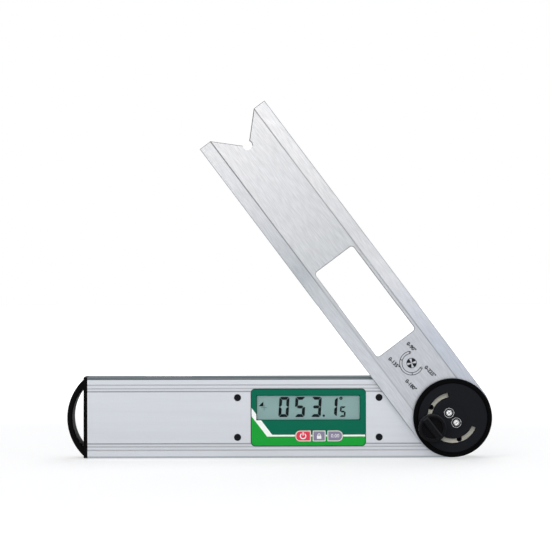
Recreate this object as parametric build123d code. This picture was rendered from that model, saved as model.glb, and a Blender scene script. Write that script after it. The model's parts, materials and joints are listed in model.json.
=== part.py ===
from build123d import *
import os
from math import asin, cos, degrees, radians, sin

# Angle finder with two arms, in millimetres. The base arm is a hollow aluminium extrusion that
# holds the display, the level vial and the hanging loop. The blade turns in front of it about
# one pivot, and the lock knob's screw runs in the arc slot of the hub disc.
#
# X runs along the base arm towards the pivot, Y to the back and Z up. The origin is on the
# measuring edge, midway along the arm and midway through its depth. A "level" is a height in
# front of the arm's middle plane, so it is the same as -Y.

# Base arm
arm_length = 250.0            # pivot to the end cap's outer face
arm_height = 55.0
arm_depth = 26.0
arm_wall = 2.5
arm_edge_round = 1.5
cavity_round = 2.0
groove_heights = (17.7, 19.7, 22.1)   # from the arm's centre line, on both faces
groove_width = 0.9
groove_depth = 0.4
end_inset = 1.2               # the round hub ends are struck from just behind the pivot

# Clearances
fit_gap = 0.15                # a fixed piece in its pocket
press_gap = 0.02              # a piece pressed or glued on
shaft_gap = 0.03              # a running fit, on the radius
slide_gap = 0.3               # between pieces that pass each other
key_gap = 0.2                 # round a key

# End cap with its hanging loop
cap_plate = 2.6
cap_plug_length = 12.0
cap_plug_wall = 2.0
loop_reach = 11.2             # beyond the plate
loop_arch = 36.0              # radius of the bow
loop_band = 3.5               # at the tip
loop_opening_arch = 29.8
loop_opening_round = 0.6      # against the plate
loop_depth = 24.0
loop_edge_break = 0.8

# Level vial in the top edge
vial_offset = 192.8           # pivot to its middle
vial_length = 32.5
vial_width = 12.0
vial_depth = 13.0
vial_flange = 2.0             # ledge under the wall
vial_flange_thickness = 2.0
vial_bore_radius = 4.2
vial_end_wall = 2.5
bubble_length = 9.0
bubble_radius = 2.3
bubble_taper = 1.5            # at both ends

# Display window, film and keys, seen from the front
display_offset = 97.4         # pivot to its middle
film_width = 78.2
film_height = 39.2
film_round = 3.0
film_thickness = 0.3
film_margin = 2.3             # film stuck on the arm round the opening
lcd_width = 69.8
lcd_height = 16.3
lcd_rise = 6.65               # middle of the window above the centre line
lcd_round = 1.2
lcd_glass_margin = 1.0
lcd_glass_height_margin = 1.5
lcd_glass_thickness = 2.1
lens_thickness = 1.0
lens_lip = 0.8                # frame lip in front of the glass
key_height = 7.4
key_drop = 12.6               # middle of the keys below the centre line
key_round = 3.4
key_space = 1.2
key_widths = {"power_key": 10.6, "hold_key": 8.8, "zero_key": 10.5}
key_row_start = 8.9           # first key's left side, left of the display's middle
key_proud = 0.2               # above the film
key_flange = 0.6
key_flange_thickness = 1.0
key_roof_share = 0.36         # of the wall's thickness that is left above a key's flange
key_travel = 0.3
connector_width = 2.2

# Module frame, board and switches behind the window
frame_plate = 2.0
frame_half_height = 21.0
frame_screw_margin = 4.5
frame_rail_width = 1.2
board_gap = 1.0               # frame plate to board
board_thickness = 1.6
board_height = 36.0
board_width = 73.0
switch_size = 5.0
switch_play = 0.1             # left under a pressed key
module_screw_span = 96.1
module_screw_rise = 26.9
module_screw_head_radius = 2.3
module_screw_head_height = 1.4
module_screw_radius = 1.25
module_screw_length = 6.5
module_screw_sink = 0.1
module_screw_socket = 0.8     # hexagon's radius, and its depth
module_boss_width = 6.0
module_boss_length = 5.0

# Coin cell and its bayonet cap in the back
cell_radius = 10.0
cell_thickness = 3.2
cell_crimp = 1.1              # the cell's closed side is smaller by this
cell_crimp_height = 0.6
cell_play = 0.3
contact_thickness = 0.4
contact_tab = 2.0
holder_wall = 1.5
holder_post_width = 3.4
holder_post_offset = 8.5
battery_cap_radius = 12.0
battery_cap_step = 0.25       # the inner stage is smaller
lug_reach = 1.7
lug_thickness = 1.2
lug_half_angle = 14.0
lug_turn = 60.0               # from locked to free
coin_slot_length = 14.0
coin_slot_width = 1.8
coin_slot_depth = 1.2

# Pivot, encoder and bearings
shaft_boss_radius = 7.0
shaft_radius = 4.0
front_bush_radius = 12.2
front_bush_length = 4.0
encoder_depth = 8.2           # chamber floor below the arm's front face
stator_thickness = 1.2
stator_bore = 5.5
rotor_radius = 11.0
rotor_thickness = 1.2
encoder_gap = 0.6
rotor_hub_radius = 6.0
rotor_hub_rise = 0.4
rear_bush_radius = 6.0
rear_bush_length = 10.0
rear_bush_flange = 8.0
rear_bush_flange_thickness = 1.0
rear_pocket_radius = 9.5
spring_washer_radius = 7.0
spring_washer_thickness = 0.5
circlip_radius = 6.5
circlip_thickness = 0.8
circlip_groove = 0.6
shaft_tail = 0.9              # shaft beyond its groove
pivot_cover_radius = 11.1
pivot_cover_edge_break = 0.4
insert_length = 34.0          # pivot to the insert's inner end
insert_setback = 0.3
ribbon_width = 6.0
ribbon_thickness = 0.3
ribbon_lap = 2.0              # on the board
channel_overlap = 1.2         # ribbon channel into the encoder chamber

# Blade
blade_length = 247.8
blade_width = 54.8
blade_thickness = 4.0
blade_edge_break = 0.4
blade_groove_offset = 18.4
blade_groove_width = 0.8
blade_groove_depth = 0.5
window_start = 62.7
window_length = 71.2
window_width = 32.1
window_round = 2.2
notch_relief_radius = 3.3
notch_relief_depth = 17.2
rest_opening = 53.15          # angle between the arms as stored
full_opening = 180.0
spare_travel = 45.0           # slot beyond the closed position

# Hub disc, slot and fixings
disc_radius = 26.6
disc_thickness = 4.5
disc_rim = 3.1
disc_dish = 0.8
disc_edge_break = 0.8
disc_lip_break = 0.4
disc_groove_radius = 8.8
disc_groove_width = 0.5
disc_groove_depth = 0.25
slot_radius = 15.6
slot_width = 3.1
blade_slot_margin = 0.5
friction_ring_inner = 12.6
friction_ring_outer = 20.0
friction_ring_thickness = 0.8
hub_screw_offset = 4.1
hub_screw_head_radius = 1.85
hub_screw_head_height = 1.7
hub_screw_head_break = 0.4
hub_screw_cross = (2.2, 0.7, 1.0)     # length, width and depth of the recess
hub_screw_radius = 1.25
hub_screw_length = 11.0
screw_hole_gap = 0.15
cup_radius = 2.9
cup_wall = 0.35
cup_depth = 1.6

# Lock knob and its three seats
seat_angles = (204.6, 154.5, 288.7)   # the first one is in use
seat_insert_radius = 2.7      # to the hexagon's corners
seat_insert_length = 7.0
seat_hole_gap = 0.3
lock_screw_radius = 1.5
lock_screw_end_play = 0.3
knob_radius = 9.4
knob_base = 3.0
knob_ring_height = 5.5
knob_ring_wall = 2.0
knob_bar_width = 4.4
knob_bar_rise = 1.0
knob_bar_angle = -52.0
knob_flutes = 24
knob_flute_depth = 0.5
knob_edge_break = 0.6
lock_washer_radius = 4.2

# Places that follow from the sizes above
pivot_x = arm_length / 2
centre_z = arm_height / 2
round_end_x = pivot_x - end_inset
cap_outer_x = -arm_length / 2
arm_left_x = cap_outer_x + cap_plate
display_x = pivot_x - display_offset
vial_x = pivot_x - vial_offset

front = arm_depth / 2
inner_front = front - arm_wall
back = -arm_depth / 2
inner_back = back + arm_wall

film_top = front + film_thickness
lens_bottom = film_top - lens_thickness
glass_top = front - lens_lip - switch_play
glass_bottom = glass_top - lcd_glass_thickness
frame_front = inner_front - switch_play
frame_back = frame_front - frame_plate
board_front = frame_back - board_gap
board_back = board_front - board_thickness
key_top = film_top + key_proud
key_roof = inner_front + key_roof_share * arm_wall
key_flange_top = key_roof - switch_play
key_flange_bottom = key_flange_top - key_flange_thickness
module_screw_seat = front - module_screw_sink - module_screw_head_height

blade_back = front + friction_ring_thickness + slide_gap
blade_front = blade_back + blade_thickness
disc_top = blade_front + disc_thickness
dish_floor = disc_top - disc_dish
cup_seat = dish_floor - cup_depth
knob_bottom = disc_top + slide_gap
knob_floor = knob_bottom + knob_base
knob_ring_top = knob_floor + knob_ring_height
insert_front = inner_front - fit_gap
insert_back = inner_back + fit_gap
chamber_floor = front - encoder_depth
stator_top = chamber_floor + stator_thickness
rotor_bottom = stator_top + encoder_gap
rotor_top = rotor_bottom + rotor_thickness
shaft_shoulder = rotor_top + rotor_hub_rise
rear_seat = chamber_floor - switch_play - rear_bush_length
rear_flange_back = rear_seat - rear_bush_flange_thickness
washer_back = rear_flange_back - spring_washer_thickness - switch_play
circlip_front = washer_back - switch_play
circlip_back = circlip_front - circlip_thickness
shaft_end = circlip_back - shaft_tail

battery_cap_inner = inner_back - 0.1
lug_back = inner_back + 0.2
lug_front = lug_back + lug_thickness
cell_back = lug_front + cell_play
cell_front = cell_back + cell_thickness
holder_floor = cell_front + contact_thickness
lug_room = lug_front + cell_play / 2

blade_angle = 180.0 - rest_opening
shank_angle = degrees(asin(lock_screw_radius / slot_radius))
slot_end = seat_angles[0] + full_opening - rest_opening + shank_angle
slot_start = seat_angles[0] - rest_opening - spare_travel - shank_angle


# Helpers
def slab(outline, low, high):
    """Thicken a front-view outline between two levels."""
    return extrude(Plane.XZ.offset(low) * outline, high - low)


def at_hub(outline, angle=0.0):
    return Pos(pivot_x, centre_z) * Rot(0, 0, angle) * outline


def at_display(outline, x=0.0, z=0.0):
    return Pos(display_x + x, centre_z + z) * outline


def polar(radius, angle):
    return Pos(radius * cos(radians(angle)), radius * sin(radians(angle)))


def disc(radius, low, high):
    return slab(at_hub(Circle(radius)), low, high)


def ring(outer, inner, low, high):
    return slab(at_hub(Circle(outer) - Circle(inner)), low, high)


def sector(inner, outer, start, stop):
    """Arc slot with square ends, round the origin."""
    near = CenterArc((0, 0), inner, start, stop - start)
    far = CenterArc((0, 0), outer, start, stop - start)
    return make_face([near, Line(near @ 1, far @ 1), far, Line(far @ 0, near @ 0)])


def along_arm(section, start, length):
    return extrude(Plane.YZ.offset(start) * Pos(0, centre_z) * section, length)


def cavity_section(gap):
    width = arm_depth - 2 * arm_wall - 2 * gap
    return RectangleRounded(width, arm_height - 2 * arm_wall - 2 * gap, cavity_round)


def round_end(radius, length):
    """Front view of an arm that ends in a half circle at the hub; it runs back from there."""
    straight = Pos(-length / 2, 0) * Rectangle(length, 2 * radius)
    return straight + Circle(radius)


def seats(outline, low, high, angles=seat_angles):
    return [slab(at_hub(polar(slot_radius, angle) * outline), low, high) for angle in angles]


def arch(reach, radius, length):
    """Front view of a bow that stands reach to the left of the end cap's face."""
    bow = Pos(radius - reach, 0) * Circle(radius)
    return bow & Pos(length / 2 - reach, 0) * Rectangle(length, arm_height)


def film_outline():
    return RectangleRounded(film_width, film_height, film_round)


def window_outline(grow=0.0):
    return RectangleRounded(film_width - 2 * film_margin + 2 * grow,
                            film_height - 2 * film_margin + 2 * grow, film_round / 2)


def lcd_outline(shrink=0.0):
    return RectangleRounded(lcd_width - 2 * shrink, lcd_height - 2 * shrink, lcd_round)


def glass_outline(grow=0.0):
    return Rectangle(lcd_width + 2 * lcd_glass_margin + 2 * grow,
                     lcd_height + 2 * lcd_glass_height_margin + 2 * grow)


def key_centres():
    """Middle of each key along the arm, from the display's middle."""
    centres, left = {}, -key_row_start
    for name, width in key_widths.items():
        centres[name] = left + width / 2
        left += width + key_space
    return centres


def key_outline(name, grow=0.0):
    outline = Rectangle(key_widths[name] + 2 * grow, key_height + 2 * grow)
    ends = {"power_key": 0, "zero_key": -1}
    if name in ends:
        outline = fillet(outline.vertices().group_by(Axis.X)[ends[name]], key_round)
    return at_display(outline, key_centres()[name], -key_drop)


def key_flange_outline(name, grow=0.0):
    outline = Rectangle(key_widths[name] + 2 * grow, key_height + 2 * key_flange + 2 * grow)
    return at_display(outline, key_centres()[name], -key_drop)


def module_screw_places():
    return GridLocations(module_screw_span, module_screw_rise, 2, 2).locations


# Base arm
def housing_extrusion():
    section = RectangleRounded(arm_depth, arm_height, arm_edge_round) - cavity_section(0)
    for height in groove_heights:
        for side in (-1, 1):
            for face in (-1, 1):
                place = Pos(face * arm_depth / 2, side * height)
                section -= place * Rectangle(2 * groove_depth, groove_width)
    body = along_arm(section, arm_left_x, round_end_x + arm_height / 2 - arm_left_x)
    outline = Pos(round_end_x, centre_z) * round_end(arm_height / 2, round_end_x - arm_left_x)
    body &= slab(outline, back, front)
    body -= slab(at_display(window_outline(fit_gap)), inner_front, front)
    for place in module_screw_places():
        body -= slab(at_display(place * Circle(module_screw_radius + screw_hole_gap)), inner_front, front)
        head = at_display(place * Circle(module_screw_head_radius + screw_hole_gap))
        body -= slab(head, module_screw_seat, front)
    body -= disc(front_bush_radius + press_gap, inner_front, front)
    body -= seats(Circle(lock_screw_radius + seat_hole_gap), inner_front, front)
    body -= disc(pivot_cover_radius + fit_gap, back, inner_back)
    notch = sector(battery_cap_radius / 2, battery_cap_radius + lug_reach + 2 * key_gap,
                   -lug_half_angle - 2, lug_half_angle + 2)
    opening = Circle(battery_cap_radius + key_gap)
    for turn in (-lug_turn, 180 - lug_turn):
        opening += Rot(0, 0, turn) * notch
    body -= slab(at_display(opening), back, inner_back)
    window = Box(vial_length, vial_width, 2 * arm_wall)
    return body - Pos(vial_x, 0, arm_height) * window


def end_cap():
    plate = along_arm(RectangleRounded(arm_depth, arm_height, arm_edge_round), cap_outer_x, cap_plate)
    plug = cavity_section(fit_gap) - offset(cavity_section(fit_gap), -cap_plug_wall)
    plate += along_arm(plug, arm_left_x, cap_plug_length)
    outer = arch(loop_reach, loop_arch, loop_reach + cap_plate / 2)
    gap = loop_reach - loop_band
    opening = arch(gap, loop_opening_arch, gap)
    opening = fillet(opening.vertices().group_by(Axis.X)[-1], loop_opening_round)
    loop = Pos(cap_outer_x, centre_z) * (outer - opening)
    loop = slab(loop, -loop_depth / 2, loop_depth / 2)
    faces = loop.faces().sort_by(Axis.Y)
    rims = [edge for edge in faces[0].edges() + faces[-1].edges() if edge.center().X < cap_outer_x]
    return plate + chamfer(rims, loop_edge_break)


def hub_insert():
    length = pivot_x + arm_height / 2 - (pivot_x - insert_length)
    body = along_arm(cavity_section(fit_gap), pivot_x - insert_length, length)
    outline = round_end(arm_height / 2 - insert_setback, insert_length)
    body &= slab(Pos(round_end_x, centre_z) * outline, insert_back, insert_front)
    body -= disc(front_bush_radius + fit_gap, chamber_floor, insert_front)
    body -= disc(rear_bush_radius + press_gap, insert_back, chamber_floor)
    body -= disc(rear_pocket_radius, insert_back, rear_seat)
    seat_floor = insert_front - seat_insert_length
    body -= seats(RegularPolygon(seat_insert_radius + press_gap, 6), seat_floor - fit_gap, insert_front)
    channel_end = pivot_x - front_bush_radius + channel_overlap
    channel_length = channel_end - (pivot_x - insert_length)
    channel = Pos(channel_end - channel_length / 2, centre_z)
    channel *= Rectangle(channel_length, ribbon_width + 2 * key_gap)
    return body - slab(channel, chamber_floor, stator_top + key_gap)


def pivot_cover():
    cover = disc(pivot_cover_radius, back, inner_back - fit_gap)
    return chamfer(cover.faces().sort_by(Axis.Y)[-1].edges(), pivot_cover_edge_break)


# Level vial
def vial_block():
    top = arm_height - press_gap
    block = Pos(vial_x, 0, top - vial_depth / 2)
    block *= Box(vial_length - 2 * fit_gap, vial_width - 2 * fit_gap, vial_depth)
    ledge_top = arm_height - arm_wall - press_gap
    ledge = Box(vial_length + 2 * vial_flange, vial_width + 2 * vial_flange, vial_flange_thickness)
    block += Pos(vial_x, 0, ledge_top - vial_flange_thickness / 2) * ledge
    return block - vial_bore()


def vial_bore():
    start = vial_x - vial_length / 2 - vial_flange
    length = vial_length + vial_flange - vial_end_wall
    return extrude(Plane.YZ.offset(start) * Pos(0, vial_axis_z()) * Circle(vial_bore_radius), length)


def vial_axis_z():
    return arm_height - vial_depth / 2


def vial_plug():
    start = vial_x - vial_length / 2 + fit_gap
    section = Pos(0, vial_axis_z()) * Circle(vial_bore_radius - press_gap)
    return extrude(Plane.YZ.offset(start) * section, vial_end_wall)


def vial_fluid():
    start = vial_x - vial_length / 2 + fit_gap + vial_end_wall + press_gap
    end = vial_x + vial_length / 2 - vial_end_wall - press_gap
    radius = vial_bore_radius - press_gap
    fluid = extrude(Plane.YZ.offset(start) * Pos(0, vial_axis_z()) * Circle(radius), end - start)
    section = Pos(0, vial_axis_z() + radius) * Circle(bubble_radius)
    bubble = extrude(Plane.YZ.offset(vial_x - bubble_length / 2) * section, bubble_length)
    return fluid - chamfer(bubble.edges().filter_by(GeomType.CIRCLE), bubble_taper)


# Display, board and keys
def display_film():
    film = at_display(film_outline()) - at_display(lcd_outline(), 0, lcd_rise)
    for name in key_widths:
        film -= key_outline(name, key_gap)
    return slab(film, front, film_top)


def lcd_lens():
    return slab(at_display(lcd_outline(press_gap), 0, lcd_rise), lens_bottom, film_top)


def lcd_glass():
    return slab(at_display(glass_outline(), 0, lcd_rise), glass_bottom, glass_top)


def lcd_connectors():
    height = lcd_height + 2 * lcd_glass_height_margin - connector_width
    bars = GridLocations(0, height, 1, 2).locations
    return Part() + [slab(at_display(bar * Rectangle(lcd_width, connector_width), 0, lcd_rise),
                          board_front, glass_bottom) for bar in bars]


def module_frame():
    plate_width = module_screw_span + 2 * frame_screw_margin
    plate = Rectangle(plate_width, 2 * frame_half_height)
    body = slab(at_display(plate), frame_back, frame_front)
    body += slab(at_display(window_outline()), frame_front, front)
    rail_offset = board_height - frame_rail_width
    for place in GridLocations(0, rail_offset, 1, 2).locations:
        rail = at_display(place * Rectangle(board_width, frame_rail_width))
        body += slab(rail, board_front, frame_back)
    for place in module_screw_places():
        boss = at_display(place * Rectangle(module_boss_width, module_boss_width))
        body += slab(boss, frame_front - module_boss_length, frame_front)
        thread = at_display(place * Circle(module_screw_radius + press_gap))
        body -= slab(thread, frame_front - module_boss_length, frame_front)
    body -= slab(at_display(lcd_outline(), 0, lcd_rise), frame_back, front)
    body -= slab(at_display(glass_outline(key_gap), 0, lcd_rise), board_front, front - lens_lip)
    for name in key_widths:
        body -= slab(key_outline(name, key_gap), key_roof, front)
        body -= slab(key_flange_outline(name, key_gap), board_front, key_roof)
    return body


def key(name):
    cap = slab(key_outline(name), key_flange_bottom, key_top)
    return cap + slab(key_flange_outline(name), key_flange_bottom, key_flange_top)


def key_switches():
    top = key_flange_bottom - key_travel - switch_play
    square = Rectangle(switch_size, switch_size)
    return Part() + [slab(at_display(square, x, -key_drop), board_front, top)
                     for x in key_centres().values()]


def circuit_board():
    return slab(at_display(Rectangle(board_width, board_height)), board_back, board_front)


def module_screws():
    top = front - module_screw_sink
    screws = []
    for place in module_screw_places():
        head = slab(at_display(place * Circle(module_screw_head_radius)), module_screw_seat, top)
        shank = at_display(place * Circle(module_screw_radius))
        shank = slab(shank, top - module_screw_length, module_screw_seat)
        socket = at_display(place * RegularPolygon(module_screw_socket, 6))
        screws.append(head + shank - slab(socket, top - module_screw_socket, top))
    return Part() + screws


# Coin cell and battery cap
def battery_holder():
    cup_radius_outer = battery_cap_radius + lug_reach + 2 * key_gap + holder_wall
    cup = slab(at_display(Circle(cup_radius_outer)), insert_back, holder_floor + holder_wall)
    cup -= slab(at_display(Circle(cup_radius_outer - holder_wall)), insert_back, lug_room)
    cup -= slab(at_display(Circle(cell_radius + 2 * key_gap)), lug_room, holder_floor)
    for place in GridLocations(2 * holder_post_offset, 2 * holder_post_offset, 2, 2).locations:
        post = at_display(place * Rectangle(holder_post_width, holder_post_width))
        cup += slab(post, holder_floor + holder_wall, board_back)
    return cup


def battery_contacts():
    plate = Rectangle(cell_radius, cell_radius / 2)
    tab = Pos(cell_radius / 2 + contact_tab / 2, 0) * Rectangle(contact_tab, cell_radius / 4)
    return slab(at_display(plate + tab), cell_front, holder_floor)


def coin_cell():
    crimp = cell_front - cell_crimp_height
    can = slab(at_display(Circle(cell_radius)), cell_back, crimp)
    return can + slab(at_display(Circle(cell_radius - cell_crimp)), crimp, cell_front)


def battery_cap():
    cap = slab(at_display(Circle(battery_cap_radius)), back, battery_cap_inner)
    cap += slab(at_display(Circle(battery_cap_radius - battery_cap_step)), battery_cap_inner, lug_front)
    lug = sector(battery_cap_radius / 2, battery_cap_radius + lug_reach, -lug_half_angle, lug_half_angle)
    for turn in (0, 180):
        cap += slab(at_display(Rot(0, 0, turn) * lug), lug_back, lug_front)
    slot = SlotOverall(coin_slot_length, coin_slot_width)
    return cap - slab(at_display(slot), back, back + coin_slot_depth)


# Pivot, bearings and encoder
def pivot_shaft():
    shaft = disc(shaft_boss_radius, shaft_shoulder, blade_back)
    shaft += disc(shaft_radius, shaft_end, shaft_shoulder)
    shaft -= ring(shaft_boss_radius, shaft_radius - circlip_groove, circlip_back, circlip_front)
    tip = blade_front + disc_thickness - disc_dish - hub_screw_length
    for side in (-1, 1):
        hole = at_hub(Pos(side * hub_screw_offset, 0) * Circle(hub_screw_radius + press_gap), blade_angle)
        shaft -= slab(hole, tip - fit_gap, blade_back)
    return shaft


def front_bush():
    return ring(front_bush_radius, shaft_boss_radius + shaft_gap, front - front_bush_length, front)


def rear_bush():
    bush = ring(rear_bush_radius, shaft_radius + shaft_gap, rear_seat, rear_seat + rear_bush_length)
    return bush + ring(rear_bush_flange, shaft_radius + shaft_gap, rear_flange_back, rear_seat)


def encoder_stator():
    return ring(front_bush_radius, stator_bore, chamber_floor, stator_top)


def encoder_rotor():
    rotor = ring(rotor_radius, shaft_radius + press_gap, rotor_bottom, rotor_top)
    return rotor + ring(rotor_hub_radius, shaft_radius + press_gap, rotor_bottom, shaft_shoulder)


def encoder_ribbon():
    start = display_x + board_width / 2 - ribbon_lap
    end = pivot_x - front_bush_radius - press_gap
    strip = Pos((start + end) / 2, centre_z) * Rectangle(end - start, ribbon_width)
    return slab(strip, board_back - ribbon_thickness, board_back)


def spring_washer():
    front_side = washer_back + spring_washer_thickness
    return ring(spring_washer_radius, shaft_radius + fit_gap, washer_back, front_side)


def circlip():
    clip = Circle(circlip_radius) - Circle(shaft_radius - circlip_groove + press_gap)
    clip -= Pos(circlip_radius, 0) * Rectangle(2 * circlip_radius, shaft_radius)
    return slab(at_hub(clip), circlip_back + press_gap, circlip_front - press_gap)


# Blade and hub disc
def hub_slot(margin=0.0):
    """The arc slot in the blade's own direction, measured from its length."""
    spread = degrees(margin / slot_radius)
    half = slot_width / 2 + margin
    return sector(slot_radius - half, slot_radius + half, slot_start - spread, slot_end + spread)


def blade_outline():
    half = blade_width / 2
    length = blade_length - end_inset
    outline = Circle(half) + Pos(length / 2, 0) * Rectangle(length, blade_width)
    outline = Pos(end_inset, 0) * outline
    outline -= Pos(window_start + window_length / 2, 0) * RectangleRounded(
        window_length, window_width, window_round)
    tip = blade_length - blade_groove_offset
    notch = Polyline((tip + half, half), (tip, 0), (tip + half, -half), close=True)
    outline -= make_face(notch)
    return outline - Pos(blade_length - notch_relief_depth, 0) * Circle(notch_relief_radius)


def blade():
    body = slab(at_hub(blade_outline(), blade_angle), blade_back, blade_front)
    long_edges = [edge for edge in body.edges().filter_by(GeomType.LINE) if edge.length > 0.8 * blade_length]
    body = chamfer(long_edges, blade_edge_break)
    for side in (-1, 1):
        line = Pos(blade_length / 2, side * blade_groove_offset)
        line *= Rectangle(2 * blade_length, blade_groove_width)
        body -= slab(at_hub(line, blade_angle), blade_front - blade_groove_depth, blade_front)
        body -= slab(at_hub(line, blade_angle), blade_back, blade_back + blade_groove_depth)
        hole = Pos(side * hub_screw_offset, 0) * Circle(hub_screw_radius + screw_hole_gap)
        body -= slab(at_hub(hole, blade_angle), blade_back, blade_front)
    return body - slab(at_hub(hub_slot(blade_slot_margin)), blade_back, blade_front)


def hub_disc():
    body = disc(disc_radius, blade_front, disc_top)
    top_edge = body.faces().sort_by(Axis.Y)[0].edges()
    body = chamfer(top_edge, disc_edge_break)
    dish_radius = disc_radius - disc_rim
    body -= disc(dish_radius, dish_floor, disc_top)
    lip = [edge for edge in body.edges().filter_by(GeomType.CIRCLE)
           if abs(edge.radius - dish_radius) < 0.01 and abs(edge.center().Y + disc_top) < 0.01]
    body = chamfer(lip, disc_lip_break)
    half = disc_groove_width / 2
    groove_floor = dish_floor - disc_groove_depth
    body -= ring(disc_groove_radius + half, disc_groove_radius - half, groove_floor, dish_floor)
    body -= slab(at_hub(hub_slot()), blade_front, disc_top)
    for side in (-1, 1):
        place = Pos(side * hub_screw_offset, 0)
        cup = at_hub(place * Circle(cup_radius + press_gap), blade_angle)
        hole = at_hub(place * Circle(hub_screw_radius + screw_hole_gap), blade_angle)
        body -= slab(cup, cup_seat, disc_top) + slab(hole, blade_front, cup_seat)
    return body


def screw_cups():
    cups = []
    for side in (-1, 1):
        outline = Pos(side * hub_screw_offset, 0) * (Circle(cup_radius) - Circle(cup_radius - cup_wall))
        cups.append(slab(at_hub(outline, blade_angle), cup_seat, dish_floor))
    return Part() + cups


def hub_screws():
    top = cup_seat + hub_screw_head_height
    length, width, depth = hub_screw_cross
    cross = Rectangle(length, width) + Rectangle(width, length)
    screws = []
    for side in (-1, 1):
        place = Pos(side * hub_screw_offset, 0)
        head = slab(at_hub(place * Circle(hub_screw_head_radius), blade_angle), cup_seat, top)
        head = chamfer(head.faces().sort_by(Axis.Y)[0].edges(), hub_screw_head_break)
        shank = at_hub(place * Circle(hub_screw_radius), blade_angle)
        recess = at_hub(place * cross, blade_angle)
        screw = head + slab(shank, dish_floor - hub_screw_length, cup_seat)
        screws.append(screw - slab(recess, top - depth, top))
    return Part() + screws


def friction_ring():
    body = ring(friction_ring_outer, friction_ring_inner, front, front + friction_ring_thickness)
    hole = Circle(lock_screw_radius + seat_hole_gap)
    return body - seats(hole, front, front + friction_ring_thickness)


# Lock knob
def seat_inserts():
    low = insert_front - seat_insert_length
    outline = RegularPolygon(seat_insert_radius, 6) - Circle(lock_screw_radius + shaft_gap)
    return Part() + seats(outline, low, insert_front)


def lock_screw():
    tip = insert_front - seat_insert_length + lock_screw_end_play
    return seats(Circle(lock_screw_radius), tip, knob_floor + knob_ring_height / 2, seat_angles[:1])[0]


def lock_washer():
    place = polar(slot_radius, seat_angles[0])
    outline = place * (Circle(lock_washer_radius) - Circle(lock_screw_radius + press_gap))
    return slab(at_hub(outline), dish_floor + slide_gap, knob_bottom)


def lock_knob():
    place = polar(slot_radius, seat_angles[0])
    body = slab(at_hub(place * Circle(knob_radius)), knob_bottom, knob_ring_top)
    body = chamfer(body.edges().filter_by(GeomType.CIRCLE), knob_edge_break)
    bowl = Circle(knob_radius - knob_ring_wall)
    body -= slab(at_hub(place * bowl), knob_floor, knob_ring_top)
    bar_outline = Rot(0, 0, knob_bar_angle) * Rectangle(2 * knob_radius, knob_bar_width)
    bar_outline &= Circle(knob_radius - knob_ring_wall / 2)
    bar = slab(at_hub(place * bar_outline), knob_floor, knob_ring_top + knob_bar_rise)
    body += chamfer(bar.faces().sort_by(Axis.Y)[0].edges(), knob_bar_width / 5)
    grip_bottom = knob_bottom + 2 * knob_edge_break
    grip_top = knob_ring_top - 2 * knob_edge_break
    for index in range(knob_flutes):
        corner = polar(knob_radius, index * 360 / knob_flutes) * Rot(0, 0, index * 360 / knob_flutes)
        body -= slab(at_hub(place * corner * RegularPolygon(knob_flute_depth, 4)), grip_bottom, grip_top)
    bore = place * Circle(lock_screw_radius + press_gap)
    return body - slab(at_hub(bore), knob_bottom, knob_floor + knob_ring_height / 2)


parts = {
    "housing_extrusion": housing_extrusion,
    "end_cap": end_cap,
    "hub_insert": hub_insert,
    "pivot_cover": pivot_cover,
    "vial_block": vial_block,
    "vial_plug": vial_plug,
    "vial_fluid": vial_fluid,
    "display_film": display_film,
    "lcd_lens": lcd_lens,
    "lcd_glass": lcd_glass,
    "lcd_connectors": lcd_connectors,
    "module_frame": module_frame,
    "key_switches": key_switches,
    "circuit_board": circuit_board,
    "module_screws": module_screws,
    "battery_holder": battery_holder,
    "battery_contact": battery_contacts,
    "coin_cell": coin_cell,
    "battery_cap": battery_cap,
    "pivot_shaft": pivot_shaft,
    "front_bush": front_bush,
    "rear_bush": rear_bush,
    "encoder_stator": encoder_stator,
    "encoder_rotor": encoder_rotor,
    "encoder_ribbon": encoder_ribbon,
    "spring_washer": spring_washer,
    "circlip": circlip,
    "blade": blade,
    "hub_disc": hub_disc,
    "screw_cups": screw_cups,
    "hub_screws": hub_screws,
    "friction_ring": friction_ring,
    "seat_inserts": seat_inserts,
    "lock_screw": lock_screw,
    "lock_washer": lock_washer,
    "lock_knob": lock_knob,
}

os.makedirs("parts", exist_ok=True)
for name, make in parts.items():
    export_step(make(), f"parts/{name}.step")
for name in key_widths:
    export_step(key(name), f"parts/{name}.step")
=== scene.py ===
import bpy
import bmesh
import json
from math import cos, radians, sin, tan
from mathutils import Matrix, Vector


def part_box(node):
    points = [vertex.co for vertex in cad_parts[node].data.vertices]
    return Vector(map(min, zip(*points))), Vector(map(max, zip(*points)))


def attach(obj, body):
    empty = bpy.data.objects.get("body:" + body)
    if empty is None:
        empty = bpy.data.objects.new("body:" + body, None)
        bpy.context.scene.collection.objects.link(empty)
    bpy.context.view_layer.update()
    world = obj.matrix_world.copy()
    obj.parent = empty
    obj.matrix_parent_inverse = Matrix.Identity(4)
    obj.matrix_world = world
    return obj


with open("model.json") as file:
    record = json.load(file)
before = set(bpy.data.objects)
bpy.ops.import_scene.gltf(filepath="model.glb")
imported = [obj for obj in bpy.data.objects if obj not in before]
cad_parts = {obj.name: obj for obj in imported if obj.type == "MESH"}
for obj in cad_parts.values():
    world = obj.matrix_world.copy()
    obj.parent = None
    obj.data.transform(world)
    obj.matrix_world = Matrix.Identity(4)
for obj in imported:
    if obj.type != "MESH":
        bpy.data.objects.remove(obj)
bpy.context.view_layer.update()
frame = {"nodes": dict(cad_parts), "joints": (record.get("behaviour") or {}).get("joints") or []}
nodes = frame["nodes"]
scene = bpy.context.scene
mm = 0.001

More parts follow.
